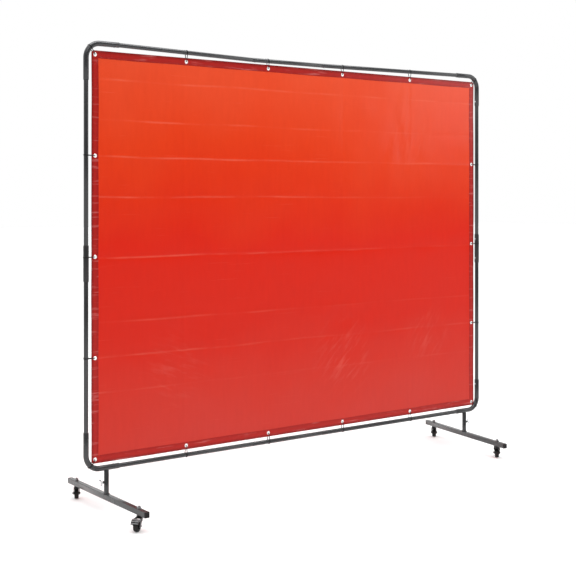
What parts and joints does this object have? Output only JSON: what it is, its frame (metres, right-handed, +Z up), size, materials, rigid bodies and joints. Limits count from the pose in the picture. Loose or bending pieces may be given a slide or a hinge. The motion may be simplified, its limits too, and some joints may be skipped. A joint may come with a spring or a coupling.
{
  "type": "welding curtain screen",
  "caption": "Free-standing welding screen: a red vinyl curtain tied by grommets inside a round-cornered tube frame on clamped, castered feet.",
  "frame": {"origin": "on the floor, midway between the side tubes, in the plane of the curtain", "axes": "+X along the screen's width, -Y to the front, +Z up"},
  "size_m": [2.517, 0.7066, 2.1065],
  "materials": {
    "frame_paint": "hammered charcoal powder coat",
    "coupler_paint": "satin black",
    "bar_paint": "satin grey powder coat",
    "curtain_vinyl": "glossy flexible vinyl",
    "black_plastic": "moulded",
    "black_steel": "black electrophoretic coat",
    "tyre_rubber": "moulded tread",
    "zinc": "zinc plated"
  },
  "bodies": {
    "frame": {"top_rail_left_tube": "frame_paint", "top_rail_middle_tube": "frame_paint", "top_rail_right_tube": "frame_paint", "bottom_rail_left_tube": "frame_paint", "bottom_rail_middle_tube": "frame_paint", "bottom_rail_right_tube": "frame_paint", "left_side_lower_tube": "frame_paint", "left_side_upper_tube": "frame_paint", "left_side_coupler": "coupler_paint", "top_left_elbow": "frame_paint", "bottom_left_elbow": "frame_paint", "right_side_lower_tube": "frame_paint", "right_side_upper_tube": "frame_paint", "right_side_coupler": "coupler_paint", "top_right_elbow": "frame_paint", "bottom_right_elbow": "frame_paint", "curtain": "curtain_vinyl"},
    "left_foot": {"left_foot_bar": "bar_paint", "front_left_end_cap": "black_plastic", "front_left_caster_stem": "black_steel", "front_left_stem_nut": "black_steel", "rear_left_end_cap": "black_plastic", "rear_left_caster_stem": "black_steel", "rear_left_stem_nut": "black_steel"},
    "left_wing_screw": {"left_wing_screw": "zinc"},
    "front_left_fork": {"front_left_fork": "black_steel", "front_left_axle_bolt": "black_steel", "front_left_axle_nut": "zinc"},
    "front_left_wheel": {"front_left_tyre": "tyre_rubber", "front_left_hub": "black_plastic"},
    "front_left_pedal": {"front_left_brake_pedal": "zinc"},
    "rear_left_fork": {"rear_left_fork": "black_steel", "rear_left_axle_bolt": "black_steel", "rear_left_axle_nut": "zinc"},
    "rear_left_wheel": {"rear_left_tyre": "tyre_rubber", "rear_left_hub": "black_plastic"},
    "right_foot": {"right_foot_bar": "bar_paint", "front_right_end_cap": "black_plastic", "front_right_caster_stem": "black_steel", "front_right_stem_nut": "black_steel", "rear_right_end_cap": "black_plastic", "rear_right_caster_stem": "black_steel", "rear_right_stem_nut": "black_steel"},
    "right_wing_screw": {"right_wing_screw": "zinc"},
    "front_right_fork": {"front_right_fork": "black_steel", "front_right_axle_bolt": "black_steel", "front_right_axle_nut": "zinc"},
    "front_right_wheel": {"front_right_tyre": "tyre_rubber", "front_right_hub": "black_plastic"},
    "front_right_pedal": {"front_right_brake_pedal": "zinc"},
    "rear_right_fork": {"rear_right_fork": "black_steel", "rear_right_axle_bolt": "black_steel", "rear_right_axle_nut": "zinc"},
    "rear_right_wheel": {"rear_right_tyre": "tyre_rubber", "rear_right_hub": "black_plastic"}
  },
  "joints": [
    {"name": "left_foot_turn", "type": "hinge", "parent": "frame", "child": "left_foot", "pos_m": [-1.144, 0, 0.15], "axis": [0, 0, 1], "range_deg": [-90, 90]},
    {"name": "left_wing_screw_turn", "type": "hinge", "parent": "left_foot", "child": "left_wing_screw", "pos_m": [-1.144, 0, 0.143], "axis": [-1, 0, 0], "continuous": true},
    {"name": "front_left_swivel", "type": "hinge", "parent": "left_foot", "child": "front_left_fork", "pos_m": [-1.144, -0.287, 0.055], "axis": [0, 0, 1], "continuous": true},
    {"name": "front_left_wheel_spin", "type": "hinge", "parent": "front_left_fork", "child": "front_left_wheel", "pos_m": [-1.16291, -0.30178, 0.02479], "axis": [0.6157, -0.788, 0], "continuous": true},
    {"name": "front_left_brake_press", "type": "hinge", "parent": "front_left_fork", "child": "front_left_pedal", "pos_m": [-1.1503, -0.29193, 0.045], "axis": [0.6157, -0.788, 0], "range_deg": [0, 9]},
    {"name": "rear_left_swivel", "type": "hinge", "parent": "left_foot", "child": "rear_left_fork", "pos_m": [-1.144, 0.287, 0.055], "axis": [0, 0, 1], "continuous": true},
    {"name": "rear_left_wheel_spin", "type": "hinge", "parent": "rear_left_fork", "child": "rear_left_wheel", "pos_m": [-1.13348, 0.30857, 0.02479], "axis": [-0.8988, 0.4384, 0], "continuous": true},
    {"name": "right_foot_turn", "type": "hinge", "parent": "frame", "child": "right_foot", "pos_m": [1.144, 0, 0.15], "axis": [0, 0, 1], "range_deg": [-90, 90]},
    {"name": "right_wing_screw_turn", "type": "hinge", "parent": "right_foot", "child": "right_wing_screw", "pos_m": [1.144, 0, 0.143], "axis": [0.986, -0.1668, 0], "continuous": true},
    {"name": "front_right_swivel", "type": "hinge", "parent": "right_foot", "child": "front_right_fork", "pos_m": [1.09614, -0.28298, 0.055], "axis": [0, 0, 1], "continuous": true},
    {"name": "front_right_wheel_spin", "type": "hinge", "parent": "front_right_fork", "child": "front_right_wheel", "pos_m": [1.11328, -0.26619, 0.02479], "axis": [-0.6997, 0.7145, 0], "continuous": true},
    {"name": "front_right_brake_press", "type": "hinge", "parent": "front_right_fork", "child": "front_right_pedal", "pos_m": [1.10185, -0.27738, 0.045], "axis": [-0.6997, 0.7145, 0], "range_deg": [0, 9]},
    {"name": "rear_right_swivel", "type": "hinge", "parent": "right_foot", "child": "rear_right_fork", "pos_m": [1.19186, 0.28298, 0.055], "axis": [0, 0, 1], "continuous": true},
    {"name": "rear_right_wheel_spin", "type": "hinge", "parent": "rear_right_fork", "child": "rear_right_wheel", "pos_m": [1.21014, 0.29854, 0.02479], "axis": [-0.6481, 0.7615, 0], "continuous": true}
  ]
}
